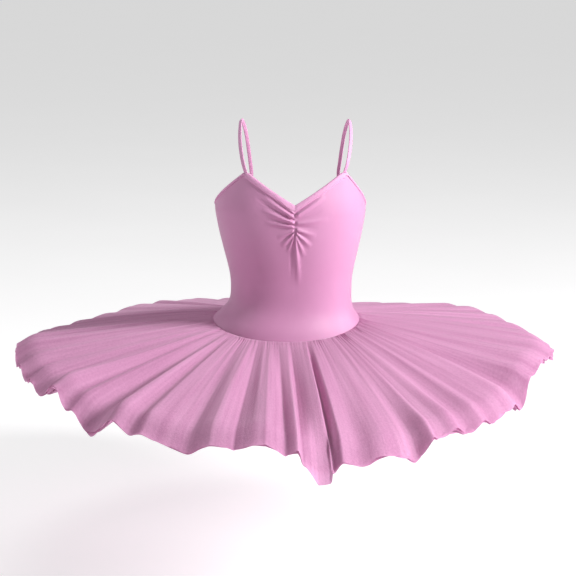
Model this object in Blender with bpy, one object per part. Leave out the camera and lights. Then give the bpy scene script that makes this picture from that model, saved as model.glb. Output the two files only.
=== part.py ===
"""Child's ballet dress: a strapped stretch bodice with a pinched front, on a flat skirt of net layers.

Metres, +Z up. The dress faces -Y. The origin lies midway between the two straps, level with
the underside of their tops, where the shoulders carry the dress. Angles round the body are
in degrees, 0 at the centre front, growing towards +X, 180 at the centre back.
Every piece is a closed wall between an outer and an inner grid of points.
"""

import math

import bpy
from mathutils import Vector

JERSEY = 0.0015
NET = 0.0016
SEAM_GAP = 0.0003
BINDING = 0.0010
NECK_BINDING_DROP = 0.0075
ARM_BINDING_DROP = 0.0040

# Round the body, across its width, a section is fuller than an ellipse.
FULLNESS = 2.3

# The body of the dress, which leans a little. Columns: height, middle, half width, depth in
# front, depth behind.
BODY_SECTIONS = (
    (0.000, -0.0055, 0.0880, 0.0540, 0.0560),
    (-0.066, -0.0058, 0.0955, 0.0650, 0.0640),
    (-0.080, -0.0062, 0.0985, 0.0690, 0.0660),
    (-0.095, -0.0064, 0.1018, 0.0730, 0.0680),
    (-0.110, -0.0064, 0.1045, 0.0765, 0.0695),
    (-0.123, -0.0062, 0.1053, 0.0780, 0.0700),
    (-0.149, -0.0058, 0.1012, 0.0775, 0.0690),
    (-0.175, -0.0053, 0.0955, 0.0745, 0.0660),
    (-0.201, -0.0048, 0.0893, 0.0705, 0.0625),
    (-0.219, -0.0046, 0.0860, 0.0680, 0.0610),
    (-0.240, -0.0046, 0.0852, 0.0675, 0.0615),
    (-0.254, -0.0056, 0.0868, 0.0695, 0.0650),
    (-0.264, -0.0074, 0.0915, 0.0735, 0.0705),
    (-0.273, -0.0096, 0.0985, 0.0790, 0.0770),
    (-0.280, -0.0110, 0.1035, 0.0835, 0.0825),
    (-0.286, -0.0112, 0.1045, 0.0850, 0.0850),
    (-0.360, -0.0112, 0.1045, 0.0850, 0.0850),
)

# The neckline and armholes. The straps' seats are measured across from the centre.
V_HEIGHT = -0.107
CORNER_HEIGHT = -0.066
UNDERARM_HEIGHT = -0.1165
UNDERARM_ANGLE = 95.0
BACK_STRAP_HEIGHT = -0.108
BACK_NECK_HEIGHT = -0.142
FRONT_SEAT = (0.0645, 0.0715)
BACK_SEAT = (0.0575, 0.0645)
NECK_LEVEL = -0.070
SIDE_SEAM = 90.0
SEAM_ANGLE = 0.1
PANEL_COLUMNS = 12
SIDE_COLUMNS = 6
BACK_COLUMNS = 5

# The dropped waist seam that the net is gathered to.
SEAM_HEIGHT = -0.280
SEAM_DIP_FRONT = 0.015
SEAM_DIP_BACK = 0.006
HIP_BAND_DEPTH = 0.036
NET_TIER = 0.0075

# Folds that run out of the pinched centre front. Columns: side (-1 is towards -X), root
# below the point of the V, direction above the level line in degrees, length, width, rise.
# The lengths are in millimetres.
PINCH_FOLDS = (
    (1, 13.5, 31, 50, 2.8, 3.4),
    (1, 23.5, 5, 48, 3.0, 2.2),
    (1, 31.5, -19, 32, 2.3, 2.6),
    (1, 35.0, -44, 32, 2.2, 3.0),
    (1, 37.0, -68, 36, 2.2, 3.0),
    (1, 38.0, -85, 74, 2.8, 2.6),
    (-1, 10.5, 38, 38, 2.2, 1.8),
    (-1, 16.0, 31, 54, 2.5, 3.4),
    (-1, 23.0, 20, 50, 2.6, 3.4),
    (-1, 28.5, 8, 44, 2.4, 2.6),
    (-1, 32.5, -26, 28, 2.2, 2.6),
    (-1, 36.0, -47, 28, 2.2, 3.0),
    (-1, 39.0, -68, 28, 2.1, 2.6),
)
PINCH_DEPTH = 0.036
PINCH_SINK = 0.0004
PINCH_REACH = 0.075

# One strap, on the +X side, from the front corner over the shoulder to the back.
# Columns: across, forward (-) or back (+), height, all in metres.
STRAP_PATH = (
    (0.0718, -0.0505, -0.0500),
    (0.0748, -0.0425, -0.0330),
    (0.0762, -0.0310, -0.0180),
    (0.0762, -0.0170, -0.0070),
    (0.0752, -0.0010, 0.0009),
    (0.0722, 0.0160, -0.0065),
    (0.0690, 0.0310, -0.0220),
    (0.0664, 0.0440, -0.0420),
    (0.0640, 0.0540, -0.0640),
    (0.0620, 0.0590, -0.0860),
)
STRAP_WIDTH = 0.0054
STRAP_THICKNESS = 0.0018
STRAP_STEPS = 26
STRAP_SLOPE = (0.72, 0.0, -0.69)

# The rim of the skirt. Columns: angle, reach from the axis, height of the top layer's rim,
# how far the stack of layers hangs below it there.
SKIRT_AXIS = -0.013
SKIRT_RIM = (
    (-180, 0.382, -0.343, 0.016),
    (-161, 0.382, -0.337, 0.016),
    (-146, 0.382, -0.328, 0.016),
    (-132, 0.382, -0.333, 0.016),
    (-119, 0.382, -0.338, 0.016),
    (-106, 0.383, -0.328, 0.016),
    (-95, 0.384, -0.316, 0.015),
    (-84, 0.382, -0.308, 0.014),
    (-74, 0.382, -0.314, 0.015),
    (-66, 0.383, -0.316, 0.016),
    (-58, 0.384, -0.322, 0.016),
    (-51, 0.384, -0.314, 0.014),
    (-42, 0.384, -0.344, 0.017),
    (-35, 0.382, -0.334, 0.016),
    (-25, 0.382, -0.346, 0.017),
    (-15, 0.382, -0.349, 0.018),
    (-10, 0.380, -0.337, 0.017),
    (-2, 0.380, -0.344, 0.018),
    (4, 0.382, -0.349, 0.018),
    (12, 0.382, -0.370, 0.018),
    (19, 0.382, -0.357, 0.017),
    (26, 0.382, -0.366, 0.017),
    (30, 0.382, -0.344, 0.015),
    (36, 0.382, -0.344, 0.015),
    (46, 0.382, -0.339, 0.014),
    (56, 0.380, -0.333, 0.014),
    (61.5, 0.375, -0.310, 0.012),
    (70, 0.374, -0.300, 0.012),
    (80, 0.378, -0.310, 0.013),
    (95, 0.386, -0.318, 0.015),
    (108, 0.384, -0.321, 0.015),
    (116, 0.382, -0.320, 0.016),
    (127, 0.382, -0.311, 0.016),
    (137, 0.382, -0.324, 0.016),
    (149, 0.382, -0.336, 0.016),
    (161, 0.382, -0.345, 0.016),
)

# Folds close up towards the front of the seam. Columns: angle at the rim, angle at the seam.
FOLD_SWEEP = (
    (-180, -180),
    (-120, -123),
    (-75, -81),
    (-46, -55),
    (-30, -42),
    (-16, -26),
    (-4, -11),
    (2, -1),
    (9, 12),
    (22, 32),
    (38, 52),
    (58, 78),
    (90, 104),
    (130, 137),
)

# The folds across the front. Columns: angle of the valley where the fold starts, angle of
# its ridge, rise of the ridge and depth of the valley in millimetres.
FRONT_FOLDS = (
    (-92.5, -89.5, 4, -3),
    (-84.5, -81.5, 5, -4),
    (-75.5, -72.0, 6, -4),
    (-66.0, -63.0, 5, -5),
    (-57.0, -52.0, 8, -4),
    (-48.0, -45.0, 5, -4),
    (-40.0, -35.0, 7, -12),
    (-31.0, -28.0, 5, -3),
    (-18.5, -14.2, 7, -4),
    (-9.5, -1.9, 7, -9),
    (-0.9, 0.7, 3, -1),
    (2.3, 4.0, 2, -5),
    (5.8, 7.8, 2, -4),
    (9.3, 11.2, 8, -9),
    (16.5, 23.0, 4, -7),
    (25.5, 28.5, 5, -3),
    (30.5, 35.0, 7, -4),
    (37.5, 42.3, 5, -5),
    (44.8, 52.0, 10, -2),
    (55.5, 61.5, 4, -9),
    (64.5, 70.5, 6, -4),
    (73.5, 79.5, 6, -4),
    (82.5, 89.0, 5, -4),
)
BACK_FOLDS = 18
BACK_FOLD_LIFT = 5.0

# The net layers, from the top one down. Columns: name, share of the full reach, share of
# the stack's hang, unevenness of the hang and of the cut edge in millimetres.
NET_LAYERS = (
    ("net_layer_1", 0.985, 0.00, 0.0, 4.0),
    ("net_layer_2", 1.000, 0.36, 2.0, 6.0),
    ("net_layer_3", 0.985, 0.68, 2.4, 7.0),
    ("net_layer_4", 0.955, 1.00, 3.0, 8.0),
)
RADIAL_STEPS = (0.0, 0.12, 0.40, 0.72, 1.0)
LOWER_RADIAL_STEPS = (0.0, 0.12, 0.50, 1.0)
ROOT_SPAN = 5.0
DROOP = 1.25
FOLD_GROWTH = 0.85
FOLD_ROUNDING = 0.8

# The corner of net that hangs lowest, right of the centre front.
HANGING_ANGLES = (3.0, 6.8, 8.6, 9.2)
HANGING_REACH = 0.020
HANGING_DROP = 0.026

COLOURS = {
    "jersey": (0.72, 0.36, 0.58),
    "binding": (0.70, 0.34, 0.56),
    "net": (0.78, 0.42, 0.64),
}


def clear_scene():
    """Removes whatever the file starts with."""
    for item in list(bpy.data.objects):
        bpy.data.objects.remove(item, do_unlink=True)


def fabric(name, roughness):
    """A plain cloth material in the dress's colour."""
    material = bpy.data.materials.new(name)
    material.use_nodes = True
    shader = material.node_tree.nodes["Principled BSDF"]
    shader.inputs["Base Color"].default_value = (*COLOURS[name], 1.0)
    shader.inputs["Roughness"].default_value = roughness
    return material


def eased(share):
    """A smooth step from 0 to 1."""
    share = min(1.0, max(0.0, share))
    return (1.0 - math.cos(math.pi * share)) / 2.0


def smooth_column(rows, at, column):
    """Reads a column of a table at a place between its rows, on a smooth curve."""
    if at <= rows[0][0]:
        return rows[0][column]
    if at >= rows[-1][0]:
        return rows[-1][column]
    i = next(n for n in range(len(rows) - 1) if rows[n + 1][0] >= at)
    low, high = rows[i], rows[i + 1]
    before = rows[max(i - 1, 0)]
    after = rows[min(i + 2, len(rows) - 1)]
    span = high[0] - low[0]
    slope_in = (high[column] - before[column]) / (high[0] - before[0])
    slope_out = (after[column] - low[column]) / (after[0] - low[0])
    t = (at - low[0]) / span
    return (
        (2 * t**3 - 3 * t**2 + 1) * low[column]
        + (t**3 - 2 * t**2 + t) * span * slope_in
        + (3 * t**2 - 2 * t**3) * high[column]
        + (t**3 - t**2) * span * slope_out
    )


def around(rows):
    """A table of angles with its ends repeated, so that it reads on across the back."""
    last = [(row[0] - 360, *row[1:]) for row in rows[-3:]]
    first = [(row[0] + 360, *row[1:]) for row in rows[:3]]
    return (*last, *rows, *first)


def steps(start, end, count, power=1.0):
    """count + 1 values from start to end, closer together near start for a power over 1."""
    return [start + (end - start) * (i / count) ** power for i in range(count + 1)]


def body_point(angle, height, out=0.0):
    """A point on the body's section at a height, moved out from the surface."""
    rows = BODY_SECTIONS[::-1]
    middle = smooth_column(rows, height, 1)
    half = smooth_column(rows, height, 2) + out
    sine = math.sin(math.radians(angle))
    cosine = math.cos(math.radians(angle))
    depth = smooth_column(rows, height, 3 if cosine > 0 else 4) + out
    x = middle + half * math.copysign(abs(sine) ** (2 / FULLNESS), sine)
    y = -depth * math.copysign(abs(cosine) ** (2 / FULLNESS), cosine)
    return Vector((x, y, height))


def front_angle(x):
    """The angle at which the front of the body at neck level lies at a place across."""
    middle = smooth_column(BODY_SECTIONS[::-1], NECK_LEVEL, 1)
    share = (x - middle) / smooth_column(BODY_SECTIONS[::-1], NECK_LEVEL, 2)
    return math.copysign(math.degrees(math.asin(abs(share) ** (FULLNESS / 2))), share)


def back_angle(x):
    """The same for the back of the body."""
    turned = 180 - front_angle(x)
    return turned if turned <= 180 else turned - 360


def seam_height(angle):
    """Height of the dropped waist seam, lowest at the centre front."""
    forward = math.cos(math.radians(angle))
    dip = SEAM_DIP_FRONT if forward > 0 else SEAM_DIP_BACK
    return SEAM_HEIGHT - dip * abs(forward) ** 1.5


def top_edge(angle):
    """Height of the neckline and armhole edge at an angle round the body."""
    angle = (angle + 180) % 360 - 180
    side = 1 if angle > 0 else -1
    x = abs(body_point(angle, NECK_LEVEL).x)
    front_corner = abs(front_angle(side * FRONT_SEAT[1]))
    back_corner = abs(back_angle(side * BACK_SEAT[1]))
    if abs(angle) < 90 and x <= FRONT_SEAT[0] + 1e-6:
        return V_HEIGHT + (CORNER_HEIGHT - V_HEIGHT) * x / FRONT_SEAT[0]
    if abs(angle) <= front_corner + 1e-6:
        return CORNER_HEIGHT
    if abs(angle) <= UNDERARM_ANGLE:
        left = (UNDERARM_ANGLE - abs(angle)) / (UNDERARM_ANGLE - front_corner)
        return UNDERARM_HEIGHT + (CORNER_HEIGHT - UNDERARM_HEIGHT) * left**1.2
    if abs(angle) <= back_corner:
        share = (abs(angle) - UNDERARM_ANGLE) / (back_corner - UNDERARM_ANGLE)
        return UNDERARM_HEIGHT + (BACK_STRAP_HEIGHT - UNDERARM_HEIGHT) * eased(share)
    if x >= BACK_SEAT[0] - 1e-6:
        return BACK_STRAP_HEIGHT
    return BACK_NECK_HEIGHT + (BACK_STRAP_HEIGHT - BACK_NECK_HEIGHT) * (x / BACK_SEAT[0]) ** 2


def pinch_relief(angle, height):
    """How far the gathers of the pinched front stand out of the panel."""
    across = body_point(angle, height).x
    if math.cos(math.radians(angle)) < 0 or abs(across) > PINCH_REACH:
        return 0.0
    arc = across * 1040
    down = (V_HEIGHT - height) * 1000
    relief = 0.0
    for side, root, direction, length, width, rise in PINCH_FOLDS:
        run_x = math.cos(math.radians(direction)) * side
        run_y = -math.sin(math.radians(direction))
        along = arc * run_x + (down - root) * run_y
        if not -2.0 < along < length:
            continue
        off = -arc * run_y + (down - root) * run_x
        spread = width * (0.8 + 0.6 * max(along, 0.0) / length)
        fade = eased((along + 2.0) / 6.0) * (1.0 - max(along, 0.0) / length) ** 0.8
        relief = max(relief, rise * fade * math.exp(-((off / spread) ** 2)))
    # The row of gathering stitches pulls the very centre in.
    stitched = math.exp(-((arc / 2.0) ** 2)) * eased((PINCH_DEPTH * 1000 - down) / 6 + 1)
    return (relief * (1.0 - 0.75 * stitched)) / 1000 - PINCH_SINK * stitched


def middle_of(pair):
    """The middle of a pair of values."""
    return (pair[0] + pair[1]) / 2


def front_columns(side):
    """Angles of the front panel's columns on one side, from the centre to the side seam."""
    inner = [front_angle(x * side) for x in steps(0, FRONT_SEAT[0], PANEL_COLUMNS, 1.25)]
    seat = [front_angle(side * middle_of(FRONT_SEAT))]
    corner = front_angle(side * FRONT_SEAT[1])
    return inner, seat, steps(corner, side * (SIDE_SEAM - SEAM_ANGLE), SIDE_COLUMNS)


def back_columns(side):
    """Angles of the back panel's columns on one side, from the side seam to the centre."""
    corner = back_angle(side * BACK_SEAT[1])
    outer = steps(side * (SIDE_SEAM + SEAM_ANGLE), corner, BACK_COLUMNS)
    seat = [back_angle(side * middle_of(BACK_SEAT))]
    inner = [back_angle(x * side) for x in steps(BACK_SEAT[0], 0, BACK_COLUMNS)]
    inner[-1] = 180.0 * side
    return outer, seat, inner


def cloth_wall(name, outer, inner, material, ring=False):
    """One closed wall between two grids of points, each a list of rows."""
    rows, columns = len(outer), len(outer[0])
    points = [p for grid in (outer, inner) for row in grid for p in row]
    half = rows * columns

    def quad(a, b, c, d):
        faces.append((a, b, c, d))

    faces = []
    last = columns if ring else columns - 1
    for r in range(rows - 1):
        for c in range(last):
            n = (c + 1) % columns
            low, high = r * columns, (r + 1) * columns
            quad(low + c, low + n, high + n, high + c)
            quad(half + low + c, half + high + c, half + high + n, half + low + n)
    for c in range(last):
        n = (c + 1) % columns
        top = (rows - 1) * columns
        quad(n, c, half + c, half + n)
        quad(top + c, top + n, half + top + n, half + top + c)
    if not ring:
        for r in range(rows - 1):
            low, high = r * columns, (r + 1) * columns
            end = columns - 1
            quad(low, high, half + high, half + low)
            quad(high + end, low + end, half + low + end, half + high + end)
    mesh = bpy.data.meshes.new(name)
    mesh.from_pydata(points, [], faces)
    mesh.validate()
    mesh.shade_smooth()
    mesh.set_sharp_from_angle(angle=math.radians(50))
    mesh.materials.append(material)
    item = bpy.data.objects.new(name, mesh)
    bpy.data.collections["ballet_dress"].objects.link(item)
    return item


def panel(name, angles, drops, shares, material):
    """A bodice panel, its rows first at drops below the neckline and then shared out."""

    def grid(out, raised):
        made = []
        for angle in angles:
            top, low = top_edge(angle), seam_height(angle)
            column = [top - drop for drop in drops]
            column += [column[-1] + (low - column[-1]) * share for share in shares]
            lifts = [pinch_relief(angle, h) if raised else 0.0 for h in column]
            made.append([body_point(angle, h, out + r) for h, r in zip(column, lifts)])
        return [list(row) for row in zip(*made)][::-1]

    return cloth_wall(name, grid(0.0, True), grid(-JERSEY, False), material)


def bodice_front(material):
    """The front panel, with its pinched gathers raised in the outer face."""
    left, seat_left, side_left = front_columns(-1)
    right, seat_right, side_right = front_columns(1)
    angles = side_left[::-1] + seat_left + left[:0:-1]
    angles += right + seat_right + side_right
    drops = [0.0, ARM_BINDING_DROP, NECK_BINDING_DROP] + steps(0.0105, 0.0745, 20)
    return panel("bodice_front", angles, drops, steps(0, 1, 5)[1:], material)


def bodice_back(material):
    """The plain back panel, cut low between the straps."""
    outer, seat, inner = back_columns(1)
    outer_left, seat_left, inner_left = back_columns(-1)
    angles = outer + seat + inner
    angles += [a + 360 for a in inner_left[-2::-1] + seat_left + outer_left[::-1]]
    drops = [0.0, ARM_BINDING_DROP, NECK_BINDING_DROP]
    return panel("bodice_back", angles, drops, steps(0, 1, 10)[1:], material)


def binding(name, angles, drop, material):
    """A narrow bound edge that follows the top of the panels, just outside them."""

    def grid(out):
        made = []
        for down in (drop, 0.0):
            row = []
            for angle in angles:
                height = top_edge(angle) - down
                row.append(body_point(angle, height, out + pinch_relief(angle, height)))
            made.append(row)
        return made

    return cloth_wall(name, grid(SEAM_GAP + BINDING), grid(SEAM_GAP), material)


def bindings(material):
    """The bound edges of the neckline, the two armholes and the back."""
    cut = 0.15
    left, seat_left, _ = front_columns(-1)
    right, seat_right, _ = front_columns(1)
    neck = [seat_left[0] + cut] + left[:0:-1] + right + [seat_right[0] - cut]
    binding("neck_binding", neck, NECK_BINDING_DROP, material)
    for name, side in (("armhole_binding_left", 1), ("armhole_binding_right", -1)):
        _, front_seat, front_side = front_columns(side)
        back_side, back_seat, _ = back_columns(side)
        arm = [front_seat[0] + side * cut] + front_side + back_side
        arm.append(back_seat[0] - side * cut)
        binding(name, arm[::side], ARM_BINDING_DROP, material)
    _, seat, inner = back_columns(1)
    _, seat_left, inner_left = back_columns(-1)
    back = [seat[0] + cut] + inner
    back += [a + 360 for a in inner_left[-2::-1] + [seat_left[0] - cut]]
    binding("back_binding", back, NECK_BINDING_DROP, material)


def mirrored(point, side):
    """A point carried over to the other side for a side of -1."""
    return Vector((point.x * side, point.y, point.z))


def strap_seat(seat, turn, height, side):
    """Middle of a strap's seat on the panel's edge, and the level line along that edge."""
    points = [body_point(turn(side * x), height + SEAM_GAP) for x in seat]
    inner, outer = (mirrored(p, side) for p in points)
    return (inner + outer) / 2, (outer - inner).normalized()


def strap_frame(share, side):
    """Place, width direction and face direction of a strap, a share along its path.

    They are given as for the +X side, and the -X strap is carried over afterwards.
    """
    start, front = strap_seat(FRONT_SEAT, front_angle, CORNER_HEIGHT, side)
    finish, behind = strap_seat(BACK_SEAT, back_angle, BACK_STRAP_HEIGHT, side)
    path = (start, *STRAP_PATH, finish)
    rows = [(i / (len(path) - 1), *p) for i, p in enumerate(path)]

    def place(at):
        return Vector([smooth_column(rows, at, k) for k in (1, 2, 3)])

    nudge = 0.01
    run = (place(min(1, share + nudge)) - place(max(0, share - nudge))).normalized()
    run = Vector((0, 0, 1)).lerp(run, eased(share / 0.07))
    run = run.lerp(Vector((0, 0, -1)), eased((share - 0.93) / 0.07))
    top = Vector(STRAP_SLOPE)
    if share < 0.45:
        width = front.lerp(top, eased(share / 0.45))
    else:
        width = top.lerp(behind, eased((share - 0.45) / 0.55))
    width = (width - run * width.dot(run)).normalized()
    return place(share), width, width.cross(run).normalized()


def straps(material):
    """The two shoulder straps, each a flat strip seated on the front and back corners."""
    for name, side in (("strap_left", 1), ("strap_right", -1)):
        outer, inner = [], []
        for i in range(STRAP_STEPS + 1):
            here, width, face = strap_frame(i / STRAP_STEPS, side)
            ends = []
            for across_it in (-0.5, 0.5):
                for through in (0.5, -0.5):
                    p = here + width * (across_it * STRAP_WIDTH)
                    p += face * (through * STRAP_THICKNESS)
                    ends.append(mirrored(p, side))
            a, b, c, d = ends
            outer.append([a, c] if side > 0 else [c, a])
            inner.append([b, d] if side > 0 else [d, b])
        cloth_wall(name, outer, inner, material)


def hip_band(material):
    """The band below the waist seam that carries the rows of net."""
    angles = steps(-180, 180, 48)[:-1]

    def grid(out):
        made = []
        for share in (1.0, 0.0):
            row = []
            for angle in angles:
                top = seam_height(angle) - SEAM_GAP
                flat = body_point(angle, SEAM_HEIGHT - 0.02, out)
                row.append(Vector((flat.x, flat.y, top - HIP_BAND_DEPTH * share)))
            made.append(row)
        return made

    return cloth_wall("hip_band", grid(0.0), grid(-JERSEY), material, ring=True)


def uneven(number, seed):
    """A fixed uneven value from -1 to 1 for a fold's number."""
    return math.sin(number * 2.399 + seed * 1.7) * math.cos(number * 1.13 + seed)


def back_folds():
    """The hidden folds of the top layer across the back, like those in front."""
    start, end = FRONT_FOLDS[-1][1] + 3.5, FRONT_FOLDS[0][0] + 360
    pitch = (end - start) / BACK_FOLDS
    rows = []
    for i in range(BACK_FOLDS):
        valley = start + pitch * (i + 0.18 * uneven(i, 1) * (i > 0))
        lift = BACK_FOLD_LIFT * (1.0 + 0.35 * uneven(i, 2))
        rows.append((valley, valley + pitch * 0.45, lift, -0.8 * lift))
    return rows


def fold_keys():
    """The valleys and ridges round the whole rim: angle and height in metres."""
    keys = []
    for valley, ridge, rise, depth in (*FRONT_FOLDS, *back_folds()):
        keys += [(valley, depth / 1000), (ridge, rise / 1000)]
    return keys


def between(keys, angle):
    """The key before an angle, the key after it, and the share of the way from one to the other."""
    turned = (angle - keys[0][0]) % 360 + keys[0][0]
    closed = (*keys, (keys[0][0] + 360, keys[0][1]))
    i = next(n for n in range(len(keys)) if closed[n + 1][0] >= turned)
    a, b = closed[i][0], closed[i + 1][0]
    return i, (i + 1) % len(keys), (turned - a) / (b - a)


def fold_height(keys, angle):
    """The height of the folds at the rim, with round ridges and sharp valleys."""
    i, j, share = between(keys, angle)
    low, high = keys[i][1], keys[j][1]
    if low > high:
        share = 1.0 - share
        low, high = high, low
    rounded = math.sin(math.pi / 2 * share)
    return low + (high - low) * (share + (rounded - share) * FOLD_ROUNDING)


def layer_angles(keys, fine):
    """Angles that catch each valley and ridge and, where fine, the slopes between them."""
    angles = []
    closed = (*keys, (keys[0][0] + 360, keys[0][1]))
    for (a, _), (b, _) in zip(closed, closed[1:]):
        parts = math.ceil((swept(b) - swept(a)) % 360 / ROOT_SPAN)
        if fine and b - a > 1.6 * parts:
            parts *= 2
        angles += steps(a, b, parts)[:-1]
    return sorted({*angles, *HANGING_ANGLES})


def swept(angle):
    """The angle at the seam that a fold at this angle of the rim runs from."""
    turned = (angle + 180) % 360 - 180
    rows = around(FOLD_SWEEP)
    shifted = [(a, b - 360 if a < -180 else b + 360 if a >= 180 else b) for a, b in rows]
    fixed = [(a, b + 360 * (b < a - 180) - 360 * (b > a + 180)) for a, b in shifted]
    return smooth_column(fixed, turned, 1)


def hanging(angle):
    """How much of the low corner of net shows at an angle, from 0 to 1."""
    start, lowest, turn, end = HANGING_ANGLES
    if not start < angle < end:
        return 0.0
    return min(1.0, (angle - start) / (lowest - start), (end - angle) / (end - turn))


class Skirt:
    """The heights of the net layers, which all lie in the same folds."""

    def __init__(self):
        self.rim = around(SKIRT_RIM)
        self.keys = fold_keys()

    def wander(self, angle, layer):
        """An uneven value from 0 to 1 for a layer, which changes from one fold to the next."""
        i, j, share = between(self.keys, angle)
        low, high = (0.5 + 0.5 * uneven(n, layer) for n in (i, j))
        return low + (high - low) * share

    def place(self, layer, angle, step):
        """A point on a layer's upper face, a share of the way from the seam to its edge."""
        turned = (angle + 180) % 360 - 180
        _, reach, _, hang_uneven, edge_uneven = NET_LAYERS[layer]
        full = smooth_column(self.rim, turned, 1)
        low_corner = hanging(turned) if layer == 0 else 0.0
        ragged = edge_uneven / 1000 * (self.wander(angle, layer + 4) - 0.5)
        share = step * (reach + (ragged + HANGING_REACH * low_corner) / full)
        root = body_point(swept(angle), SEAM_HEIGHT - 0.02, SEAM_GAP)
        sine, cosine = math.sin(math.radians(angle)), math.cos(math.radians(angle))
        x = root.x + (SKIRT_AXIS + full * sine - root.x) * share
        y = root.y + (-full * cosine - root.y) * share
        return Vector((x, y, self.height(layer, angle, share)))

    def height(self, layer, angle, share):
        """The height of a layer's upper face at a share of the full reach."""
        turned = (angle + 180) % 360 - 180
        root = seam_height(swept(angle)) - 0.0008
        rim = smooth_column(self.rim, turned, 2)
        flat = 1.0 - hanging(turned)
        folds = fold_height(self.keys, angle) * flat * share**FOLD_GROWTH
        made = root + (rim - root) * (0.35 * share + 0.65 * share**DROOP) + folds
        hang = smooth_column(self.rim, turned, 3)
        below = NET_TIER * layer * (1 - min(share, 1.0)) + hang * NET_LAYERS[layer][2] * share
        for over in range(1, layer + 1):
            below += NET_LAYERS[over][3] / 1000 * self.wander(angle, over) * share
        low_corner = HANGING_DROP * hanging(turned) * share**4
        return made - below - low_corner

    def layer(self, number, material):
        """One net layer as a closed ring."""
        angles = layer_angles(self.keys, number == 0)
        radial = RADIAL_STEPS if number == 0 else LOWER_RADIAL_STEPS
        upper = [[self.place(number, a, step) for a in angles] for step in radial]
        lower = [[p - Vector((0, 0, NET)) for p in row] for row in upper]
        cloth_wall(NET_LAYERS[number][0], lower, upper, material, ring=True)


def main():
    """Builds the dress."""
    clear_scene()
    dress = bpy.data.collections.new("ballet_dress")
    bpy.context.scene.collection.children.link(dress)
    jersey = fabric("jersey", 0.6)
    edge = fabric("binding", 0.5)
    net = fabric("net", 0.7)
    bodice_front(jersey)
    bodice_back(jersey)
    bindings(edge)
    straps(edge)
    hip_band(jersey)
    skirt = Skirt()
    for number in range(len(NET_LAYERS)):
        skirt.layer(number, net)


main()
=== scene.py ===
"""Child's ballet dress: a strapped bodice with a pinched front, on a flat skirt of net layers.

Metres, +Z up. The dress faces -Y and hangs from its straps, whose tops carry the origin.
Angles round the body are in degrees, 0 at the centre front, growing towards +X.
"""

import logging
import math
from dataclasses import dataclass, field
from enum import Enum

import bpy
import numpy as np
from mathutils import Matrix, Vector


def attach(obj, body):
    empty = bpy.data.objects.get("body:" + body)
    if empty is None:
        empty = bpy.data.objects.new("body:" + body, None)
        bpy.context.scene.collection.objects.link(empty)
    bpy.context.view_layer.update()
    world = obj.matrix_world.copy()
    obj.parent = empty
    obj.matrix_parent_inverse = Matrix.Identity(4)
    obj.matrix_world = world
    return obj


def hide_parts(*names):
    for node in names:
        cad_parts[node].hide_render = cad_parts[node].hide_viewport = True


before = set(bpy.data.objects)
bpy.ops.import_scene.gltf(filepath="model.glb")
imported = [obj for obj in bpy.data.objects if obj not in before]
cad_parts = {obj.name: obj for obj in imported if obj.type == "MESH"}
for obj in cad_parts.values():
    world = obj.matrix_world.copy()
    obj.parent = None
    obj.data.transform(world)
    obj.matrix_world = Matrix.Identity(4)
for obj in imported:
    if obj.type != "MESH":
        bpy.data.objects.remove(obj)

log = logging.getLogger("ballet_dress")

Points = np.ndarray
Colour = tuple[float, float, float]
CLOTH_MAP = "cloth"
BODY = "root"


class Side(Enum):
    """The two sides of the dress, as its wearer has them."""

    LEFT = 1
    RIGHT = -1


class Weave(Enum):
    """How a cloth's surface is made."""

    KNIT = "knit"
    TAPE = "tape"
    NET = "net"


def eased(share: Points | float) -> Points:
    """Returns a smooth step from 0 to 1."""
    return (1.0 - np.cos(np.pi * np.clip(share, 0.0, 1.0))) / 2.0


def turned_half(angle: Points | float) -> Points:
    """Returns angles from -180 to 180."""
    return (np.asarray(angle, float) + 180) % 360 - 180


def waves(turn: Points, seed: int, fewest: int, most: int) -> Points:
    """Uneven waves round a ring, between about -1 and 1.

    Args:
        turn: Angles in degrees.
        seed: Which of the fixed sets of waves to take.
        fewest: Smallest number of waves round the ring.
        most: Largest number of waves round the ring.

    Returns:
        The waves' height at each angle.
    """
    chance = np.random.default_rng(seed)
    counts = chance.integers(fewest, most + 1, 9)
    phases = chance.uniform(0.0, 2 * math.pi, 9)
    sizes = chance.uniform(0.5, 1.0, 9)
    total = sum(s * np.sin(np.radians(turn) * n + p) for n, p, s in zip(counts, phases, sizes))
    return total / np.sqrt((sizes**2).sum()) / 1.25


@dataclass(frozen=True)
class SizeTable:
    """Rows of sizes, read on smooth curves between them. The first column is the place."""

    rows: tuple[tuple[float, ...], ...]

    def read(self, at: Points | float, column: int) -> Points:
        """Reads one column.

        Args:
            at: Where to read, in the units of the first column.
            column: Which column to read.

        Returns:
            The column's value at each place.
        """
        table = np.array(sorted(self.rows), float)
        place, value = table[:, 0], table[:, column]
        at = np.clip(np.asarray(at, float), place[0], place[-1])
        low = np.clip(np.searchsorted(place, at) - 1, 0, len(place) - 2)
        high = low + 1
        before, after = np.maximum(low - 1, 0), np.minimum(low + 2, len(place) - 1)
        span = place[high] - place[low]
        slope_in = (value[high] - value[before]) / (place[high] - place[before])
        slope_out = (value[after] - value[low]) / (place[after] - place[low])
        t = (at - place[low]) / span
        return (
            (2 * t**3 - 3 * t**2 + 1) * value[low]
            + (t**3 - 2 * t**2 + t) * span * slope_in
            + (3 * t**2 - 2 * t**3) * value[high]
            + (t**3 - t**2) * span * slope_out
        )

    def around(self) -> "SizeTable":
        """Returns the table with its ends repeated a turn away, so that it reads on all round."""
        rows = sorted(self.rows)
        last = tuple((row[0] - 360, *row[1:]) for row in rows[-3:])
        first = tuple((row[0] + 360, *row[1:]) for row in rows[:3])
        return SizeTable((*last, *rows, *first))


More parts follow.
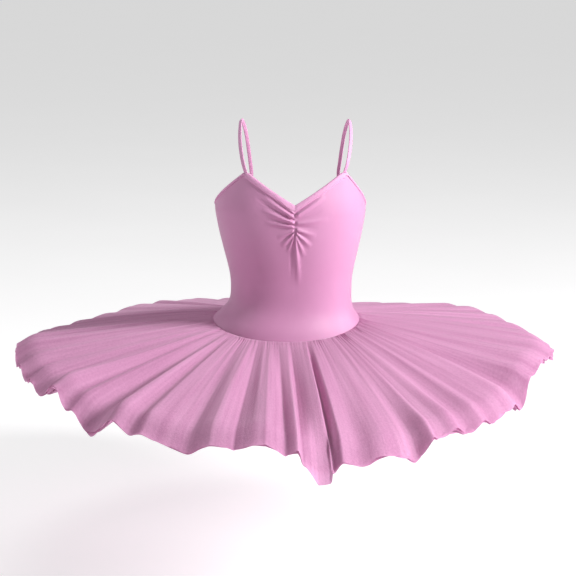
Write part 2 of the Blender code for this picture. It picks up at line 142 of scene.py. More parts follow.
class ClothMesh:
    """Gathers grids of points into one mesh, with a cloth map in metres for its weave."""

    def __init__(self) -> None:
        """Starts an empty mesh."""
        self.points: list[Points] = []
        self.faces: list[Points] = []
        self.maps: list[Points] = []
        self.count = 0

    @staticmethod
    def lengths(grid: Points, axis: int, ring: bool) -> Points:
        """Running lengths along one direction of a grid, at the middle of the other."""
        line = grid[:, grid.shape[1] // 2] if axis == 0 else grid[grid.shape[0] // 2]
        if ring:
            line = np.concatenate([line, line[:1]])
        return np.concatenate([[0.0], np.cumsum(np.linalg.norm(np.diff(line, axis=0), axis=1))])

    def quads(self, index: Points, ring: bool, u: Points, v: Points, turned: bool) -> None:
        """Adds the faces between the rows and columns of a grid of vertex numbers."""
        rows, columns = index.shape
        last = columns if ring else columns - 1
        r, c = np.meshgrid(np.arange(rows - 1), np.arange(last), indexing="ij")
        n = (c + 1) % columns
        corners = [index[r, c], index[r, n], index[r + 1, n], index[r + 1, c]]
        places = [(u[c], v[r]), (u[c + 1], v[r]), (u[c + 1], v[r + 1]), (u[c], v[r + 1])]
        if turned:
            corners.reverse()
            places.reverse()
        self.faces.append(np.stack(corners, -1).reshape(-1, 4))
        self.maps.append(np.stack([np.stack(p, -1) for p in places], -2).reshape(-1, 4, 2))

    def add(self, grid: Points) -> Points:
        """Adds a grid's points and returns their vertex numbers."""
        index = self.count + np.arange(grid.shape[0] * grid.shape[1]).reshape(grid.shape[:2])
        self.points.append(grid.reshape(-1, 3))
        self.count += index.size
        return index

    def sheet(self, grid: Points, ring: bool = False, turned: bool = False) -> None:
        """Adds one thin sheet.

        Args:
            grid: Rows by columns of points.
            ring: Whether the last column joins the first.
            turned: Whether its face side is the other one.
        """
        index = self.add(grid)
        u, v = self.lengths(grid, 1, ring), self.lengths(grid, 0, False)
        self.quads(index, ring, u, v, turned)

    def wall(self, outer: Points, inner: Points, ring: bool = False) -> None:
        """Adds a closed wall between an outer and an inner grid.

        Args:
            outer: The outer points, rows from bottom to top, columns with growing angle.
            inner: The inner points, in the same order.
            ring: Whether the last column joins the first.
        """
        out, into = self.add(outer), self.add(inner)
        u, v = self.lengths(outer, 1, ring), self.lengths(outer, 0, False)
        self.quads(out, ring, u, v, False)
        self.quads(into, ring, u, v, True)
        thin = np.array([0.0, 0.001])
        self.quads(np.stack([into[0], out[0]]), ring, u, thin, False)
        self.quads(np.stack([out[-1], into[-1]]), ring, u, thin, False)
        if not ring:
            self.quads(np.stack([into[:, 0], out[:, 0]], 1), False, thin, v, False)
            self.quads(np.stack([out[:, -1], into[:, -1]], 1), False, thin, v, False)

    def tube(self, rings: Points) -> None:
        """Adds a closed tube through rings of points, with flat ends.

        Args:
            rings: Stations by points of the section, which runs clockwise along the tube.
        """
        index = self.add(rings)
        v, u = self.lengths(rings, 0, False), self.lengths(rings, 1, True)
        self.quads(index, True, u, v, False)
        half = rings.shape[1] // 2
        for station, turned in ((0, True), (-1, False)):
            near, far = index[station, :half], index[station, half:][::-1]
            self.quads(np.stack([near, far]), False, u, v, turned)

    def object(self, name: str, material: bpy.types.Material, sharp: float = 50.0) -> bpy.types.Object:
        """Makes the piece.

        Args:
            name: The piece's name.
            material: Its finish.
            sharp: The angle in degrees over which an edge is drawn sharp.

        Returns:
            The new object, linked to the dress's collection.
        """
        faces = np.concatenate(self.faces)
        mesh = bpy.data.meshes.new(name)
        mesh.from_pydata(np.concatenate(self.points).tolist(), [], faces.tolist())
        layer = mesh.uv_layers.new(name=CLOTH_MAP)
        layer.uv.foreach_set("vector", np.concatenate(self.maps).astype(np.float32).ravel())
        mesh.validate()
        mesh.shade_smooth()
        mesh.set_sharp_from_angle(angle=math.radians(sharp))
        mesh.materials.append(material)
        made = bpy.data.objects.new(name, mesh)
        bpy.context.scene.collection.objects.link(made)
        return made


class Graph:
    """A material's node graph, with the few helpers that the finishes need."""

    def __init__(self, name: str) -> None:
        """Starts a material on a Principled shader."""
        self.material = bpy.data.materials.new(name)
        self.material.use_nodes = True
        self.tree = self.material.node_tree
        self.shader = self.tree.nodes["Principled BSDF"]

    def node(self, kind: str, inputs: dict, **settings: object) -> bpy.types.Node:
        """Adds a node.

        Args:
            kind: Blender's name for the node.
            inputs: Values or other nodes' outputs, by socket.
            settings: The node's own settings.

        Returns:
            The new node.
        """
        made = self.tree.nodes.new(kind)
        for key, value in settings.items():
            setattr(made, key, value)
        for key, value in inputs.items():
            self.feed(made.inputs[key], value)
        return made

    def feed(self, socket: bpy.types.NodeSocket, value: object) -> None:
        """Links an output to a socket, or sets the socket's own value."""
        if isinstance(value, bpy.types.NodeSocket):
            self.tree.links.new(value, socket)
        else:
            socket.default_value = value

    def cloth_map(self, across: float = 1.0, along: float = 1.0) -> bpy.types.NodeSocket:
        """Returns the cloth's own map, stretched by a factor each way."""
        source = self.node("ShaderNodeUVMap", {}, uv_map=CLOTH_MAP).outputs["UV"]
        scaled = {"Vector": source, "Scale": (across, along, 1.0)}
        return self.node("ShaderNodeMapping", scaled).outputs["Vector"]

    def place(self) -> bpy.types.NodeSocket:
        """Returns the place on the object, in metres."""
        return self.node("ShaderNodeTexCoord", {}).outputs["Object"]

    def noise(self, place: bpy.types.NodeSocket, scale: float, detail: float = 2.0) -> bpy.types.NodeSocket:
        """Returns soft noise of a scale, from 0 to 1."""
        inputs = {"Vector": place, "Scale": scale, "Detail": detail}
        return self.node("ShaderNodeTexNoise", inputs).outputs[0]

    def ribs(self, place: bpy.types.NodeSocket, pitch: float, direction: str) -> bpy.types.NodeSocket:
        """Returns straight ribs at a pitch in metres, from 0 to 1."""
        inputs = {"Vector": place, "Scale": 2 * math.pi / 20 / pitch, "Distortion": 0.3}
        return self.node("ShaderNodeTexWave", inputs, bands_direction=direction).outputs["Fac"]

    def sums(self, kind: str, first: object, second: object, third: object = 0.0) -> bpy.types.NodeSocket:
        """Returns a sum done by a Math node."""
        inputs = {0: first, 1: second, 2: third}
        return self.node("ShaderNodeMath", inputs, operation=kind).outputs[0]

    def spread(self, value: bpy.types.NodeSocket, low: float, high: float) -> bpy.types.NodeSocket:
        """Returns a value from 0 to 1 spread between two others."""
        return self.sums("MULTIPLY_ADD", value, high - low, low)

    def tints(self, share: bpy.types.NodeSocket, low: Colour, high: Colour) -> bpy.types.NodeSocket:
        """Returns a colour between two, by a share from 0 to 1."""
        inputs = {0: share, 6: (*low, 1.0), 7: (*high, 1.0)}
        return self.node("ShaderNodeMix", inputs, data_type="RGBA").outputs[2]

    def raised(self, height: bpy.types.NodeSocket, depth: float, strength: float) -> None:
        """Raises the surface by a height from 0 to 1."""
        inputs = {"Height": height, "Distance": depth, "Strength": strength}
        self.feed(self.shader.inputs["Normal"], self.node("ShaderNodeBump", inputs).outputs["Normal"])


@dataclass(frozen=True)
class ClothFinish:
    """One cloth's colour and surface.

    Attributes:
        name: The material's name.
        weave: How the cloth is made.
        light: Its lighter colour, linear.
        deep: Its deeper colour, linear.
        roughness: The lowest and the highest roughness.
        sheen: How much soft light its fibres catch.
        gloss: Its specular level.
        relief: Height of the weave in metres.
        glow: How much of the light from behind shows through it.
    """

    name: str
    weave: Weave
    light: Colour
    deep: Colour
    roughness: tuple[float, float]
    sheen: float
    gloss: float
    relief: float
    glow: float = 0.0

    def material(self) -> bpy.types.Material:
        """Returns the finished material."""
        g = Graph(self.name)
        makers = {Weave.KNIT: self.knit, Weave.TAPE: self.tape, Weave.NET: self.net}
        shade, height = makers[self.weave](g)
        g.feed(g.shader.inputs["Base Color"], g.tints(shade, self.deep, self.light))
        uneven = g.noise(g.place(), 60.0)
        g.feed(g.shader.inputs["Roughness"], g.spread(uneven, *self.roughness))
        g.raised(height, self.relief, 0.6)
        g.shader.inputs["Sheen Weight"].default_value = self.sheen
        g.shader.inputs["Sheen Roughness"].default_value = 0.45
        g.shader.inputs["Sheen Tint"].default_value = (1.0, 0.88, 0.97, 1.0)
        g.shader.inputs["Specular IOR Level"].default_value = self.gloss
        if self.glow:
            lit = g.node("ShaderNodeBsdfTranslucent", {"Color": (*self.light, 1.0)}).outputs[0]
            mixed = {0: self.glow, 1: g.shader.outputs[0], 2: lit}
            end = g.tree.nodes["Material Output"].inputs["Surface"]
            g.feed(end, g.node("ShaderNodeMixShader", mixed).outputs[0])
        return g.material

    def knit(self, g: Graph) -> tuple[bpy.types.NodeSocket, bpy.types.NodeSocket]:
        """Returns the shade and the height of a fine stretch knit."""
        wales = g.ribs(g.cloth_map(), 0.0008, "X")
        fibres = g.noise(g.cloth_map(900.0, 500.0), 1.0)
        soft = g.noise(g.place(), 16.0, 3.0)
        height = g.sums("MULTIPLY_ADD", fibres, 0.5, wales)
        fine = g.sums("MULTIPLY_ADD", wales, 0.12, g.sums("MULTIPLY", fibres, 0.3))
        return g.sums("MULTIPLY_ADD", soft, 0.7, fine), height

    def tape(self, g: Graph) -> tuple[bpy.types.NodeSocket, bpy.types.NodeSocket]:
        """Returns the shade and the height of a narrow ribbed elastic tape."""
        ribs = g.ribs(g.cloth_map(), 0.0011, "Y")
        fibres = g.noise(g.cloth_map(1100.0, 700.0), 1.0)
        soft = g.noise(g.place(), 45.0)
        fine = g.sums("MULTIPLY_ADD", ribs, 0.25, g.sums("MULTIPLY", fibres, 0.3))
        return g.sums("MULTIPLY_ADD", soft, 0.5, fine), g.sums("MULTIPLY_ADD", fibres, 0.5, ribs)

    def net(self, g: Graph) -> tuple[bpy.types.NodeSocket, bpy.types.NodeSocket]:
        """Returns the shade and the height of soft gathered net."""
        inputs = {"Vector": g.cloth_map(), "Scale": 620.0}
        cells = g.node("ShaderNodeTexVoronoi", inputs, feature="DISTANCE_TO_EDGE").outputs[0]
        threads = g.node(
            "ShaderNodeMapRange", {"Value": cells, 1: 0.04, 2: 0.22, 3: 1.0, 4: 0.0}
        ).outputs[0]
        streaks = g.noise(g.cloth_map(210.0, 5.0), 1.0, 4.0)
        broad = g.noise(g.cloth_map(40.0, 2.4), 1.0, 2.0)
        grain = g.noise(g.cloth_map(420.0, 260.0), 1.0, 3.0)
        lines = g.sums("MULTIPLY_ADD", grain, 0.35, g.sums("MULTIPLY", streaks, 0.55))
        soft = g.sums("MULTIPLY_ADD", broad, 0.35, lines)
        height = g.sums("MULTIPLY_ADD", threads, 0.25, g.sums("MULTIPLY", lines, 1.6))
        uneven = g.sums("MULTIPLY_ADD", soft, 2.2, -0.9)
        return g.sums("MULTIPLY_ADD", threads, 0.12, uneven), height


@dataclass(frozen=True)
class ThreadFinish:
    """The sewing thread: a fine twist with a little shine."""

    name: str = "thread"
    light: Colour = (0.80, 0.42, 0.66)
    deep: Colour = (0.52, 0.22, 0.40)

    def material(self) -> bpy.types.Material:
        """Returns the finished material."""
        g = Graph(self.name)
        twist = g.ribs(g.cloth_map(), 0.0005, "DIAGONAL")
        g.feed(g.shader.inputs["Base Color"], g.tints(twist, self.deep, self.light))
        g.feed(g.shader.inputs["Roughness"], g.spread(twist, 0.4, 0.6))
        g.raised(twist, 0.0001, 0.5)
        return g.material


@dataclass(frozen=True)
class FloorFinish:
    """A pale matt studio floor."""

    name: str = "studio_floor"
    light: Colour = (0.52, 0.515, 0.52)
    deep: Colour = (0.47, 0.465, 0.47)

    def material(self) -> bpy.types.Material:
        """Returns the finished material."""
        g = Graph(self.name)
        grain = g.noise(g.place(), 3.0, 4.0)
        g.feed(g.shader.inputs["Base Color"], g.tints(grain, self.deep, self.light))
        g.shader.inputs["Roughness"].default_value = 0.9
        g.shader.inputs["Specular IOR Level"].default_value = 0.1
        g.shader.inputs["Emission Color"].default_value = (1.0, 1.0, 1.0, 1.0)
        g.shader.inputs["Emission Strength"].default_value = 0.62
        return g.material


JERSEY = ClothFinish(
    name="bodice_jersey",
    weave=Weave.KNIT,
    light=(0.675, 0.31, 0.525),
    deep=(0.595, 0.255, 0.45),
    roughness=(0.42, 0.52),
    sheen=0.38,
    gloss=0.42,
    relief=0.00012,
)
TAPE = ClothFinish(
    name="binding_tape",
    weave=Weave.TAPE,
    light=(0.78, 0.39, 0.62),
    deep=(0.69, 0.315, 0.535),
    roughness=(0.45, 0.55),
    sheen=0.25,
    gloss=0.35,
    relief=0.00018,
)
TOP_NET = ClothFinish(
    name="top_net",
    weave=Weave.NET,
    light=(0.84, 0.44, 0.68),
    deep=(0.53, 0.215, 0.40),
    roughness=(0.70, 0.85),
    sheen=0.30,
    gloss=0.25,
    relief=0.0009,
    glow=0.28,
)
UNDER_NET = ClothFinish(
    name="under_net",
    weave=Weave.NET,
    light=(0.80, 0.41, 0.64),
    deep=(0.53, 0.215, 0.40),
    roughness=(0.72, 0.88),
    sheen=0.25,
    gloss=0.20,
    relief=0.0009,
    glow=0.28,
)


def dressed(piece: bpy.types.Object, slot: str, *nodes: str) -> bpy.types.Object:
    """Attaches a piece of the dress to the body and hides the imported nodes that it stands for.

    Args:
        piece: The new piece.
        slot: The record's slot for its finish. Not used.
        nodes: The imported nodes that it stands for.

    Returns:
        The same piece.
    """
    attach(piece, BODY)
    if nodes:
        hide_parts(*nodes)
    log.info("%s: %d faces", piece.name, len(piece.data.polygons))
    return piece


@dataclass(frozen=True)
class BodyForm:
    """The worn shape of the dress's body, which leans a little.

    Attributes:
        fullness: How much fuller than an ellipse a section is.
        sections: Height, middle, half width, depth in front and depth behind.
        seam: Height of the dropped waist seam at the sides.
        dips: How far the seam dips at the centre front and back.
        band_level: Height of the section that the hip band follows.
    """

    fullness: float = 2.3
    sections: SizeTable = SizeTable(
        (
            (0.000, -0.0055, 0.0880, 0.0540, 0.0560),
            (-0.066, -0.0058, 0.0955, 0.0650, 0.0640),
            (-0.080, -0.0062, 0.0985, 0.0690, 0.0660),
            (-0.095, -0.0064, 0.1018, 0.0730, 0.0680),
            (-0.110, -0.0064, 0.1045, 0.0765, 0.0695),
            (-0.123, -0.0062, 0.1053, 0.0780, 0.0700),
            (-0.149, -0.0058, 0.1012, 0.0775, 0.0690),
            (-0.175, -0.0053, 0.0955, 0.0745, 0.0660),
            (-0.201, -0.0048, 0.0893, 0.0705, 0.0625),
            (-0.219, -0.0046, 0.0860, 0.0680, 0.0610),
            (-0.240, -0.0046, 0.0852, 0.0675, 0.0615),
            (-0.254, -0.0056, 0.0866, 0.0690, 0.0648),
            (-0.264, -0.0074, 0.0906, 0.0718, 0.0698),
            (-0.273, -0.0096, 0.0970, 0.0757, 0.0757),
            (-0.280, -0.0110, 0.1032, 0.0792, 0.0815),
            (-0.286, -0.0112, 0.1045, 0.0820, 0.0850),
            (-0.292, -0.0112, 0.1045, 0.0842, 0.0850),
            (-0.298, -0.0112, 0.1045, 0.0856, 0.0850),
            (-0.360, -0.0112, 0.1045, 0.0856, 0.0850),
        )
    )
    seam: float = -0.280
    dips: tuple[float, float] = (0.015, 0.006)
    band_level: float = -0.300

    def point(self, angle: Points | float, height: Points | float, out: Points | float = 0.0) -> Points:
        """Points on the body.

        Args:
            angle: Angles round the body.
            height: Heights.
            out: How far out of the surface.

        Returns:
            The points, one for each angle and height.
        """
        angle, height, out = np.broadcast_arrays(*(np.asarray(v, float) for v in (angle, height, out)))
        middle, half = (self.sections.read(height, c) for c in (1, 2))
        sine, cosine = np.sin(np.radians(angle)), np.cos(np.radians(angle))
        depth = np.where(cosine > 0, self.sections.read(height, 3), self.sections.read(height, 4))
        power = 2 / self.fullness
        x = middle + (half + out) * np.sign(sine) * np.abs(sine) ** power
        y = -(depth + out) * np.sign(cosine) * np.abs(cosine) ** power
        return np.stack([x, y, height], -1)

    def seam_height(self, angle: Points | float) -> Points:
        """Returns the height of the waist seam at each angle."""
        forward = np.cos(np.radians(angle))
        dip = np.where(forward > 0, *self.dips)
        return self.seam - dip * np.abs(forward) ** 1.5


@dataclass(frozen=True)
class TopLine:
    """The neckline, armholes and the seats of the straps on the bodice's top edge.

    Attributes:
        body: The body that the edge follows.
        v_height: Height of the point of the V in front.
        corner: Height of the two front corners.
        underarm: Height of the lowest point of the armholes.
        underarm_angle: Where that point is.
        back_strap: Height of the edge at the back straps.
        back_neck: Height of the back's lowest point.
        front_seat: How far across each front seat starts and ends.
        back_seat: The same at the back.
        level: Height at which places across are turned into angles.
    """

    body: BodyForm
    v_height: float = -0.107
    corner: float = -0.066
    underarm: float = -0.1165
    underarm_angle: float = 95.0
    back_strap: float = -0.108
    back_neck: float = -0.142
    front_seat: tuple[float, float] = (0.0645, 0.0715)
    back_seat: tuple[float, float] = (0.0575, 0.0645)
    level: float = -0.070

    def front_angle(self, x: Points | float) -> Points:
        """Returns the angle at which the front lies at a place across."""
        middle, half = (self.body.sections.read(self.level, c) for c in (1, 2))
        share = (np.asarray(x, float) - middle) / half
        return np.sign(share) * np.degrees(np.arcsin(np.abs(share) ** (self.body.fullness / 2)))

    def back_angle(self, x: Points | float) -> Points:
        """Returns the same for the back."""
        turned = 180 - self.front_angle(x)
        return np.where(turned <= 180, turned, turned - 360)

    def top(self, angle: Points) -> Points:
        """Returns the height of the top edge at each angle."""
        angle = turned_half(angle)
        side = np.where(angle > 0, 1, -1)
        turn = np.abs(angle)
        x = np.abs(self.body.point(angle, self.level)[..., 0])
        front = np.abs(self.front_angle(side * self.front_seat[1]))
        back = np.abs(self.back_angle(side * self.back_seat[1]))
        neck = self.v_height + (self.corner - self.v_height) * x / self.front_seat[0]
        left = np.clip((self.underarm_angle - turn) / (self.underarm_angle - front), 0, 1)
        arm = self.underarm + (self.corner - self.underarm) * left**1.2
        rise = eased((turn - self.underarm_angle) / (back - self.underarm_angle))
        behind = self.underarm + (self.back_strap - self.underarm) * rise
        low = self.back_neck + (self.back_strap - self.back_neck) * (x / self.back_seat[0]) ** 2
        made = np.where(x >= self.back_seat[0] - 1e-6, self.back_strap, low)
        made = np.where(turn <= back, behind, made)
        made = np.where(turn <= self.underarm_angle, arm, made)
        made = np.where(turn <= front + 1e-6, self.corner, made)
        return np.where((turn < 90) & (x <= self.front_seat[0] + 1e-6), neck, made)

    def neck_columns(self, side: Side, count: int) -> Points:
        """Returns angles from the centre front to the strap's seat."""
        return self.front_angle(side.value * np.linspace(0, self.front_seat[0], count))

    def seat_columns(self, side: Side, count: int = 5) -> Points:
        """Returns angles across the front seat of a strap."""
        return self.front_angle(side.value * np.linspace(*self.front_seat, count))

    def back_seat_columns(self, side: Side, count: int = 5) -> Points:
        """Returns angles across the back seat of a strap, towards the centre."""
        return self.back_angle(side.value * np.linspace(*self.back_seat[::-1], count))

    def back_neck_columns(self, side: Side, count: int) -> Points:
        """Returns angles from a strap's back seat to the centre back."""
        turned = self.back_angle(side.value * np.linspace(self.back_seat[0], 0, count))
        turned[-1] = 180.0 * side.value
        return turned


@dataclass(frozen=True)
class PinchedCentre:
    """The gathers that run out of the stitched centre front.

    Attributes:
        top: Height of the point of the V.
        folds: Side, root below the V, direction above the level, length, width and rise of
            each ridge, in millimetres and degrees.
        creases: The same for the creases between them, the last column being their depth.
        sewn: How far the row of gathering stitches runs down, in millimetres.
        reach: How far to each side the gathers reach.
    """

    top: float
    folds: tuple[tuple[float, ...], ...] = (
        (1, 13.5, 31, 50, 2.8, 3.4),
        (1, 23.5, 5, 48, 3.0, 2.2),
        (1, 31.5, -19, 32, 2.3, 2.6),
        (1, 35.0, -44, 32, 2.2, 3.0),
        (1, 37.0, -68, 36, 2.2, 3.0),
        (1, 38.0, -85, 74, 2.8, 2.6),
        (-1, 10.5, 38, 38, 2.2, 1.8),
        (-1, 16.0, 31, 54, 2.5, 3.4),
        (-1, 23.0, 20, 50, 2.6, 3.4),
        (-1, 28.5, 8, 44, 2.4, 2.6),
        (-1, 32.5, -26, 28, 2.2, 2.6),
        (-1, 36.0, -47, 28, 2.2, 3.0),
        (-1, 39.0, -68, 28, 2.1, 2.6),
    )
    creases: tuple[tuple[float, ...], ...] = (
        (1, 10.5, 34, 46, 1.5, 1.3),
        (1, 19.0, 16, 40, 1.7, 1.1),
        (1, 27.5, -6, 34, 1.5, 0.9),
        (1, 34.0, -33, 32, 1.3, 1.1),
        (1, 37.5, -58, 26, 1.2, 0.9),
        (-1, 13.0, 34, 40, 1.4, 1.0),
        (-1, 19.5, 27, 62, 1.6, 1.6),
        (-1, 26.5, 14, 46, 1.4, 1.2),
        (-1, 31.0, 2, 38, 1.3, 0.9),
        (-1, 34.5, -37, 28, 1.3, 1.1),
        (-1, 40.0, -57, 24, 1.2, 0.9),
        (-1, 36.0, -84, 60, 1.7, 1.5),
    )
    sewn: float = 36.0
    reach: float = 0.075

    def run(self, arc: Points, down: Points, row: tuple[float, ...]) -> Points:
        """The strength of one ridge or crease at places on the front.

        Args:
            arc: Places across, in millimetres.
            down: Places below the V, in millimetres.
            row: The ridge's or crease's row.

        Returns:
            Its height at each place, in millimetres.
        """
        side, root, direction, length, width, size = row
        run_x = math.cos(math.radians(direction)) * side
        run_y = -math.sin(math.radians(direction))
        along = arc * run_x + (down - root) * run_y
        gone = np.clip(along, 0.0, length) / length
        off = -arc * run_y + (down - root) * run_x
        fade = eased((along + 2.0) / 6.0) * (1.0 - gone) ** 0.8
        inside = (along > -2.0) & (along < length)
        across = off / (width * (0.8 + 0.6 * gone))
        return np.where(inside, 1.3 * size * fade * np.exp(-(across**2)), 0.0)

    def relief(self, across: Points, height: Points, forward: Points) -> Points:
        """How far the gathers stand out.

        Args:
            across: Places across the front, in metres.
            height: Heights.
            forward: True in front, false behind.

        Returns:
            The relief in metres.
        """
        arc, down = across * 1040, (self.top - height) * 1000
        ridge = np.max([self.run(arc, down, row) for row in self.folds], axis=0)
        crease = np.max([self.run(arc, down, row) for row in self.creases], axis=0)
        sewn = np.exp(-((arc / 2.0) ** 2)) * eased((self.sewn - down) / 6 + 1)
        made = (ridge * (1.0 - 0.75 * sewn) - crease * (1.0 - sewn) - 0.4 * sewn) / 1000
        return np.where(forward & (np.abs(across) < self.reach), made, 0.0)


@dataclass
class Bodice:
    """The front and back panels of stretch jersey.

    Attributes:
        body: The body they follow.
        line: Their top edge.
        pinch: The gathers of the front.
        thickness: The jersey's wall.
        seam_angle: Where the side seams are.
        seam_sink: How deep the side seams lie.
    """

    body: BodyForm
    line: TopLine
    pinch: PinchedCentre
    thickness: float = 0.0012
    seam_angle: float = 90.0
    seam_sink: float = 0.0007

    def relief(self, angle: Points, height: Points) -> Points:
        """Returns how far the cloth stands off the body's plain form."""
        across = self.body.point(angle, height)[..., 0]
        forward = np.cos(np.radians(angle)) > 0
        off = (np.abs(turned_half(angle)) - self.seam_angle) * 1.75
        seam = self.seam_sink * np.exp(-((off / 1.3) ** 2))
        return self.pinch.relief(across, height, forward) - seam

    def panel(self, name: str, angles: Points, drops: Points, shares: Points) -> bpy.types.Object:
        """Builds one panel.

        Args:
            name: The node that it stands for.
            angles: Its columns.
            drops: How far below the top edge its first rows are.
            shares: Where its other rows are, from the last of those down to the seam.

        Returns:
            The panel.
        """
        top, low = self.line.top(angles), self.body.seam_height(angles)
        first = top[None, :] - drops[:, None]
        rest = first[-1] + (low - first[-1])[None, :] * shares[1:, None]
        height = np.concatenate([first, rest])[::-1]
        angle = np.broadcast_to(angles, height.shape)
        lift = self.relief(angle, height)
        mesh = ClothMesh()
        inner = self.body.point(angle, height, lift * 0.4 - self.thickness)
        mesh.wall(self.body.point(angle, height, lift), inner)
        return dressed(mesh.object(f"{name}_cloth", JERSEY.material()), "bodice_jersey", name)

    def build(self) -> None:
        """Builds both panels."""
        sides = {}
        for side in Side:
            seat = self.line.seat_columns(side)
            outer = np.linspace(seat[-1], self.seam_angle * side.value, 28)
            neck = self.line.neck_columns(side, 54)
            sides[side] = np.concatenate([neck[:-1], seat[:-1], outer])
        angles = np.concatenate([sides[Side.RIGHT][:0:-1], sides[Side.LEFT]])
        drops = np.concatenate([np.linspace(0, 0.0075, 5)[:-1], np.linspace(0.0075, 0.085, 62)])
        front = self.panel("bodice_front", angles, drops, np.linspace(0, 1, 18))
        runs = []
        for side in Side:
            seat = self.line.back_seat_columns(side)
            outer = np.linspace(self.seam_angle * side.value, seat[0], 24)
            neck = self.line.back_neck_columns(side, 34)
            runs.append(np.concatenate([outer[:-1], seat[:-1], neck]))
        angles = np.concatenate([runs[0], runs[1][-2::-1] + 360])
        back = self.panel("bodice_back", angles, np.linspace(0, 0.0075, 5), np.linspace(0, 1, 48))


@dataclass
class Stitches:
    """Rows of sewing stitches, each a small raised thread.

    Attributes:
        length: A stitch's length.
        pitch: From one stitch to the next.
        radius: The thread's radius.
    """

    length: float = 0.0023
    pitch: float = 0.0031
    radius: float = 0.00028
    mesh: ClothMesh = field(default_factory=ClothMesh)

    def sew(self, path: Points) -> None:
        """Sews one row.

        Args:
            path: Points of the row, as close as the cloth's own.
        """
        gone = np.concatenate([[0.0], np.cumsum(np.linalg.norm(np.diff(path, axis=0), axis=1))])
        starts = np.arange(self.pitch * 0.3, gone[-1] - self.length, self.pitch)
        turns = np.linspace(0, 2 * math.pi, 7)[:-1]
        for start in starts:
            ends = [start, start + self.length]
            a, b = (np.array([np.interp(s, gone, path[:, k]) for k in range(3)]) for s in ends)
            run = Vector(b - a).normalized()
            side = run.orthogonal().normalized()
            up = run.cross(side)
            ring = np.outer(np.cos(turns), side) + np.outer(np.sin(turns), up)
            shape = ((0.0, 0.15), (0.25, 1.0), (0.75, 1.0), (1.0, 0.15))
            rings = np.array([a + (b - a) * s + ring * self.radius * r for s, r in shape])
            self.mesh.tube(rings)

    def finish(self, name: str) -> bpy.types.Object:
        """Returns all the rows sewn so far as one piece."""
        return dressed(self.mesh.object(name, ThreadFinish().material()), "binding_jersey")


@dataclass
class BoundEdges:
    """The bound edges of the neckline, the armholes and the back, folded over the cloth.

    Attributes:
        bodice: The bodice that they are sewn to.
        neck_drop: How far the neck and back bindings reach down.
        arm_drop: The same for the armholes.
        proud: How far they stand out of the panel.
        under: How far they reach behind the panel's face.
        fold: How far the fold lies above the panel's edge.
    """

    bodice: Bodice
    neck_drop: float = 0.0075
    arm_drop: float = 0.0040
    proud: float = 0.0011
    under: float = 0.0022
    fold: float = 0.0007

    def section(self, drop: float) -> Points:
        """Returns the binding's section: how far out and how far down, all round."""
        out, back, up = self.proud, -self.under, -self.fold
        return np.array(
            [
                (0.0001, drop),
                (out * 0.75, drop - 0.0002),
                (out, drop - 0.0009),
                (out * 1.08, drop * 0.55),
                (out, 0.0006),
                (out * 0.55, up * 0.75),
                ((out + back) / 2, up),
                (back * 0.8, up * 0.75),
                (back, 0.0006),
                (back, drop * 0.55),
                (back, drop - 0.0006),
                (back * 0.7, drop),
            ]
        )

    def along(self, angles: Points, out: Points, down: Points) -> Points:
        """Returns points by angle, at distances out of and down from the panel's edge."""
        top = self.bodice.line.top(angles)
        height = top[:, None] - down[None, :]
        turned = np.broadcast_to(angles[:, None], height.shape)
        lift = self.bodice.relief(turned, np.minimum(height, top[:, None]))
        return self.bodice.body.point(turned, height, out[None, :] + lift)

    def bind(self, name: str, angles: Points, drop: float, rows: Stitches) -> None:
        """Builds one binding and sews it on.

        Args:
            name: The node that it stands for.
            angles: Its run, by angle.
            drop: How far it reaches down.
            rows: The stitches so far.
        """
        section = self.section(drop)
        mesh = ClothMesh()
        mesh.tube(self.along(angles, section[:, 0], section[:, 1]))
        dressed(mesh.object(f"{name}_tape", TAPE.material(), 70.0), "binding_jersey", name)
        line = np.array([self.proud + 0.00005]), np.array([drop - 0.0014])
        rows.sew(self.along(angles, *line)[:, 0])

    def build(self) -> None:
        """Builds the four bindings and their stitches."""
        line, rows = self.bodice.line, Stitches()
        neck = {side: line.neck_columns(side, 70) for side in Side}
        seat = {side: line.seat_columns(side)[:3] for side in Side}
        right = np.concatenate([neck[Side.RIGHT][:-1], seat[Side.RIGHT]])
        left = np.concatenate([neck[Side.LEFT][:-1], seat[Side.LEFT]])
        self.bind("neck_binding", np.concatenate([right[:0:-1], left]), self.neck_drop, rows)
        for side, name in ((Side.LEFT, "armhole_binding_left"), (Side.RIGHT, "armhole_binding_right")):
            front, behind = line.seat_columns(side)[2:], line.back_seat_columns(side)[:3]
            under = np.linspace(front[-1], behind[0], 90)
            angles = np.concatenate([front[:-1], under, behind[1:]])
            self.bind(name, angles[:: side.value], self.arm_drop, rows)
        halves = []
        for side in Side:
            seat_run = line.back_seat_columns(side)[2:]
            halves.append(np.concatenate([seat_run[:-1], line.back_neck_columns(side, 50)]))
        angles = np.concatenate([halves[0], halves[1][-2::-1] + 360])
        self.bind("back_binding", angles, self.neck_drop, rows)
        self.gathering(rows)
        rows.finish("sewing_stitches")

    def gathering(self, rows: Stitches) -> None:
        """Sews the row that gathers the centre front."""
        down = np.linspace(0.009, 0.034, 40)
        height = self.bodice.line.v_height - down
        angle = np.full_like(height, float(self.bodice.line.front_angle(0.0)))
        lift = self.bodice.relief(angle, height)
        rows.sew(self.bodice.body.point(angle, height, lift + 0.0001))


